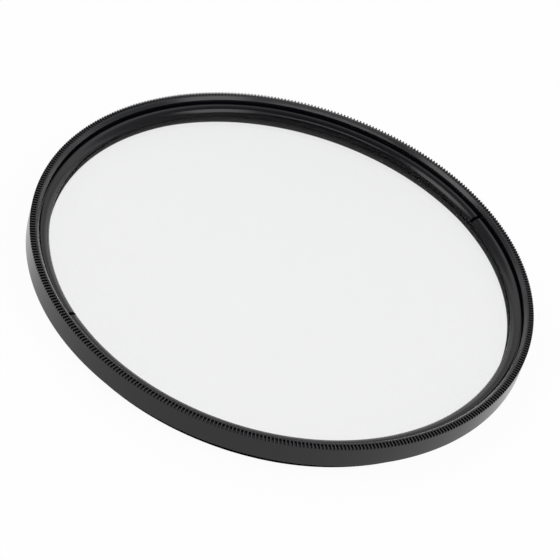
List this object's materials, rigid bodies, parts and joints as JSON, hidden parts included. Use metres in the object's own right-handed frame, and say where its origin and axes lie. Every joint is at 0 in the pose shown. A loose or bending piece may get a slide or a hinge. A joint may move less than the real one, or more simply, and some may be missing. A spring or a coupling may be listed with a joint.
{
  "type": "ultraviolet lens filter",
  "caption": "Slim round screw-in lens filter: black knurled ring with a rear male thread and a flat clear glass disc held by a slotted retaining ring",
  "frame": {"origin": "on the optical axis, in the plane of the rear thread's end, which is the plane the filter lies on", "axes": "+Z is the optical axis and points out of the filter's front, away from the lens; +X and +Y are radial, and the spanner slots are at 43.2 and 223.2 degrees from +X towards +Y"},
  "size_m": [0.0802, 0.0802, 0.0058],
  "materials": {
    "black_anodised_ring": "black anodised, satin, fine turning marks",
    "coated_glass": "polished and coated, nearly clear",
    "black_anodised_retainer": "black anodised, satin"
  },
  "bodies": {
    "root": {"filter_ring": "black_anodised_ring", "glass": "coated_glass", "retaining_ring": "black_anodised_retainer"}
  },
  "joints": []
}
